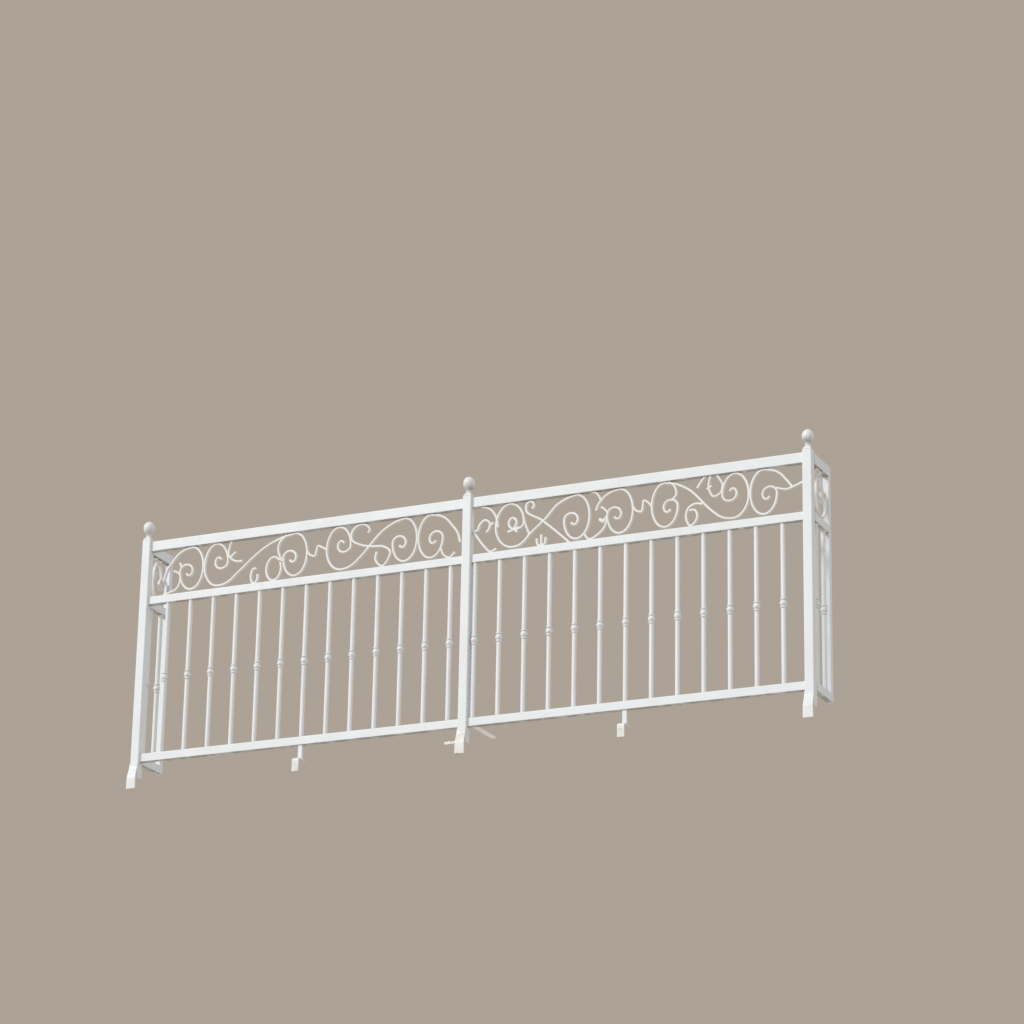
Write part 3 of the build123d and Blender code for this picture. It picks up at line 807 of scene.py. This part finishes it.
rightLines = [
    doubleScroll(frieze["right"][0], frieze["right"][1], frieze["arrival"]["short"], frieze["wideShare"],
                 wideClimb),
    singleScroll(frieze["right"][2], -1, cutTail),
    doubleScroll(frieze["right"][4], frieze["right"][3], frieze["arrival"]["short"]),
    singleScroll(singles["right"], 1, tailFalls[:5]),
    # Bars from the centre post
    lifted([(18, 114), (49, 68), (78, 30), (106, 5), (133, 14)]),
    lifted([(18, 113), (42, 105), (53, 130), (78, 149), (100, 134), (99, 112), (85, 92)]),
    lifted([(99, 118), (118, 134)]),
    lifted([(60, 211), (100, 196), (122, 171), (134, 140), (138, 109)]),
    # Tie between the first scroll and its diagonal, and the first lobe of its leaf
    lifted([(258, 140), (263, 117), (274, 86), (285, 61)]),
    lifted([(184, 82), (206, 88), (233, 99)]),
    # Bar with a hooked top that crosses the diagonal
    lifted([(297, 171), (305, 189), (290, 206), (272, 196), (268, 174), (341, 116), (436, 32), (468, 2)]),
    # Palmette of three prongs
    lifted([(340, 0), (340, 52)]),
    lifted([(338, 0), (324, 9), (319, 36)]),
    lifted([(342, 0), (356, 9), (361, 38)]),
    # Small bars between the second and third scrolls
    lifted([(536, 30), (557, 4), (600, 20), (628, 48), (640, 83)]),
    lifted([(612, 138), (629, 126), (646, 104)]),
    lifted([(604, 87), (612, 77), (621, 71), (629, 79), (638, 95)]),
    lifted([(566, 211), (590, 203), (612, 170)]),
    # Wave between the third and fourth scrolls
    lifted([(756, 119), (772, 101), (794, 94), (801, 119), (805, 141), (820, 134), (840, 112)]),
    # Lobe over the fourth scroll's curl
    lifted([(915, 211), (945, 181), (948, 145), (926, 124)]),
    # Cup with its tip, hook and low curl before the fifth scroll
    lifted([(1101, 211), (1094, 160), (1116, 118), (1148, 132), (1155, 160), (1130, 211)]),
    lifted([(1085, 153), (1108, 166)]),
    lifted([(1077, 211), (1054, 181), (1043, 163)]),
    lifted([(1066, 92), (1035, 97), (1002, 79), (993, 46), (1014, 4), (1035, 20), (1043, 46), (1032, 70),
            (1008, 72)]),
    # Wave from the last scroll to the end post
    lifted([(1390, 119), (1437, 108), (1466, 116), (1512, 134)]),
    # Second lobe of that leaf, the first scroll's closed eye, and the leaf before the third scroll
    lifted([(203, 93), (216, 87), (230, 77)]),
    ringLine(206.7, 121.8, (18, 23.5), 36, -105),
    lifted([(611, 84), (621, 77), (631, 87)]),
]


# Weld beads of the scrollwork
weldValues = {"radius": 6.4 * mm, "deep": 6.0 * mm, "near": 9 * mm, "touch": (-9 * mm, 9 * mm),
              "lumps": 0.16, "stretch": (0.85, 1.15), "rise": 88, "rings": 9, "sides": 14}


# Places where the ends of bars meet another bar or a rail, and where two big scrolls touch.
def meetingPlaces(lines, touches, values):
    spots = [(x, scrollMid + step) for x in touches for step in values["touch"]]
    for n, line in enumerate(lines):
        others = np.concatenate(lines[:n] + lines[n + 1:])
        for end in (line[0], line[-1]):
            gap = np.linalg.norm(others - end, axis=1)
            nearRail = min(abs(end[1] - midTop), abs(end[1] - topLow)) < values["near"]
            if gap.min() < values["near"]:
                spots.append(tuple((end + others[gap.argmin()]) / 2))
            elif nearRail:
                spots.append(tuple(end))
    return spots


# A weld bead: an ellipsoid whose radius is waved by 1 + lumps * sin(3u + a) * sin(2v + b), with u
# round it, v up it and the phases a and b drawn at random.
def beadShell(spot, values):
    rise = np.radians(np.linspace(-values["rise"], values["rise"], values["rings"]))[:, None]
    turn = np.linspace(0, 2 * math.pi, values["sides"], endpoint=False)[None]
    phase = rng.uniform(0, 6, 2)
    wave = 1 + values["lumps"] * np.sin(3 * turn + phase[0]) * np.sin(2 * rise + phase[1])
    across = values["radius"] * wave * np.cos(rise)
    up = values["radius"] * rng.uniform(*values["stretch"])
    deep = values["deep"] * wave * np.sin(rise) + 0 * turn
    return shellOf(np.stack([spot[0] + across * np.cos(turn), friezeY + deep,
                             spot[1] + up * wave * np.cos(rise) * np.sin(turn)], -1))


# One panel's bars. Bar n has the depth * (1 - loss * the fraction of n * turn), so that no two faces
# of bars that cross lie in one plane.
def makeFrieze(name, node, lines, place):
    loss, turn = frieze["depthLoss"], frieze["depthTurn"]
    depths = [frieze["depth"] * (1 - loss * (n * turn % 1)) for n in range(len(lines))]
    made = [ribbonShell(line, place, frieze, depth) for line, depth in zip(lines, depths)]
    edges = np.concatenate([edge for _, edge in made])
    return makePiece(name, [shell for shell, _ in made], scrollPaint, [node], edges)


makeFrieze("frieze_left_bay", "scrollwork_left_bay", leftLines, inFront)
makeFrieze("frieze_right_bay", "scrollwork_right_bay", rightLines, inFront)
halfTouch = frieze["touchPitch"] / 2
touchPlaces = {"left_bay": (frieze["left"][0] - halfTouch, frieze["left"][3] + halfTouch),
               "right_bay": (frieze["right"][4] + halfTouch,)}
for place, lines in (("left_bay", leftLines), ("right_bay", rightLines)):
    spots = meetingPlaces(lines, touchPlaces[place], weldValues)
    beads = [beadShell(spot, weldValues) for spot in spots]
    makePiece("welds_" + place, beads, scrollPaint)
    print("weld beads:", place, len(beads))
for side in ("left", "right"):
    low, high = corners("top_rail_" + side + "_return")
    spread = (high[1] - low[1]) / 2 - frieze["halfWidth"] - frieze["thickness"] / 2
    pair = [scrollLine(-spread, 1, 1), scrollLine(spread, -1, -1)]
    plane = sidePlane((low[0] + high[0]) / 2)
    makeFrieze("frieze_" + side + "_return", "scrollwork_" + side + "_return", pair, plane)
print("scrollwork made")


# Straps at the feet of the posts and legs
strapValues = {"thickness": 5 * mm, "width": 44 * mm, "waist": 40 * mm, "bend": 9 * mm, "bendTop": 44 * mm,
               "legThickness": 6 * mm, "legWidth": 32 * mm, "legBend": 8 * mm, "corner": 1.2 * mm,
               "arcSteps": 3, "endRound": 1.2 * mm, "stride": 3 * mm,
               "near": (0, 0.3 * mm, 0.8 * mm, 1.2 * mm)}


# A line of straight runs with each corner rounded by a quadratic curve (1-t)^2 a + 2t(1-t) b + t^2 c.
def bentLine(points, reach):
    points = np.array(points, float)
    stepsPerBend = 9
    t = np.linspace(0, 1, stepsPerBend)[:, None]
    parts = [points[:1]]
    for before, here, after in zip(points, points[1:], points[2:]):
        a = here + (before - here) / np.linalg.norm(before - here) * reach
        c = here + (after - here) / np.linalg.norm(after - here) * reach
        parts.append((1 - t) ** 2 * a + 2 * t * (1 - t) * here + t**2 * c)
    return np.concatenate(parts + [points[-1:]])


# A flat strap along a line in the YZ plane. Its width goes from the top's to the foot's by
# share^2 * (3 - 2 * share), and both ends draw in by a quarter circle.
def strapShell(x, line, thickness, widths, values):
    line, aside, station, length = evenSteps(line, values["stride"], values["near"])
    section, _, edge = roundedSection(
        thickness / 2, widths[1] / 2, values["corner"], values["arcSteps"])
    share = station / length
    width = widths[0] + (widths[1] - widths[0]) * share**2 * (3 - 2 * share)
    fromEnd = np.minimum(station, length - station)
    endRound = values["endRound"]
    drawn = endRound - np.sqrt(endRound**2 - np.clip(endRound - fromEnd, 0, None) ** 2)
    outer = section[:, 1][None] * ((width - 2 * drawn) / widths[1])[:, None]
    thin = section[:, 0][None] * (1 - 2 * drawn[:, None] / thickness)
    grid = np.stack([x + outer, line[:, :1] + aside[:, :1] * thin, line[:, 1:] + aside[:, 1:] * thin], -1)
    return shellOf(grid), np.tile(edge, len(station))


postWidths = (strapValues["waist"], strapValues["width"])
for side in postSides:
    low, high = corners("strap_" + side)
    half = strapValues["thickness"] / 2
    front = postLow[1] - half
    face = low[1] + half
    bends = [(front, high[2]), (front, strapValues["bendTop"]), (face, 0), (face, low[2])]
    route = bentLine(bends, strapValues["bend"])
    shell, edge = strapShell(postX[side], route, strapValues["thickness"], postWidths, strapValues)
    paint = oldStrapPaint if side == "centre" else strapPaint
    makePiece("painted_strap_" + side, [shell], paint, ["strap_" + side], edge)

legWidths = (strapValues["legWidth"], strapValues["legWidth"])
for place in bays:
    low, high = corners("leg_strap_" + place)
    half = strapValues["legThickness"] / 2
    face = low[1] + half
    middle = (low[0] + high[0]) / 2
    route = bentLine([(high[1], half), (face, half), (face, low[2])], strapValues["legBend"])
    shell, edge = strapShell(middle, route, strapValues["legThickness"], legWidths, strapValues)
    makePiece("painted_leg_strap_" + place, [shell], oldStrapPaint, ["leg_strap_" + place], edge)
print("straps made")


# Camera, light and floor
cameraValues = {"place": (5.96863, -12.37138, -3.79708), "turn": (109.33749, -1.00370, 24.63300),
                "lens": 120.52887, "sensor": 36}
cameraData = bpy.data.cameras.new("camera")
cameraData.lens = cameraValues["lens"]
cameraData.sensor_width = cameraValues["sensor"]
camera = bpy.data.objects.new("camera", cameraData)
camera.location = cameraValues["place"]
camera.rotation_euler = [math.radians(angle) for angle in cameraValues["turn"]]
bpy.context.scene.collection.objects.link(camera)
bpy.context.scene.camera = camera

lightValues = {"sun": 1.75, "from": (-0.52, -0.66, 0.54), "softness": 16, "sunColour": (1.0, 0.995, 0.98),
               "sky": 0.68, "skyColour": (0.96, 0.985, 1.02, 1), "background": (0.413, 0.36, 0.305, 1)}
sunData = bpy.data.lights.new("sun", "SUN")
sunData.energy = lightValues["sun"]
sunData.angle = math.radians(lightValues["softness"])
sunData.color = lightValues["sunColour"]
sun = bpy.data.objects.new("sun", sunData)
sunX, sunY, sunZ = lightValues["from"]
sun.rotation_euler = (math.atan2(math.hypot(sunX, sunY), sunZ), 0, math.atan2(sunY, sunX) + math.pi / 2)
bpy.context.scene.collection.objects.link(sun)

floorValues = {"level": -4.0, "half": 160.0, "colour": (0.66, 0.61, 0.545, 1), "roughness": 0.9}
floorCorners = [(a * floorValues["half"], b * floorValues["half"], floorValues["level"])
                for a, b in ((-1, -1), (1, -1), (1, 1), (-1, 1))]
floorMesh = bpy.data.meshes.new("floor")
floorMesh.from_pydata(floorCorners, [], [(0, 1, 2, 3)])
floorMaterial = bpy.data.materials.new("floorPlain")
floorMaterial.use_nodes = True
floorShader = floorMaterial.node_tree.nodes["Principled BSDF"]
floorShader.inputs["Base Color"].default_value = floorValues["colour"]
floorShader.inputs["Roughness"].default_value = floorValues["roughness"]
floorMesh.materials.append(floorMaterial)
floor = bpy.data.objects.new("floor", floorMesh)
bpy.context.scene.collection.objects.link(floor)

world = bpy.data.worlds.new("sky")
bpy.context.scene.world = world
world.use_nodes = True
sky = world.node_tree
sky.nodes.clear()
ray = addNode(sky, "LightPath").outputs
seen = mathNode(sky, "MAXIMUM", ray["Is Camera Ray"], ray["Is Glossy Ray"])
seen = mathNode(sky, "MAXIMUM", seen, ray["Is Transmission Ray"])
ambient = addNode(sky, "Background", {"Color": lightValues["skyColour"], "Strength": lightValues["sky"]})
shown = addNode(sky, "Background", {"Color": lightValues["background"], "Strength": 1.0})
mixed = addNode(sky, "MixShader", {0: seen, 1: ambient.outputs[0], 2: shown.outputs[0]})
addNode(sky, "OutputWorld", {"Surface": mixed.outputs[0]})
bpy.context.scene.view_settings.view_transform = "Standard"
print("camera, light and floor set")
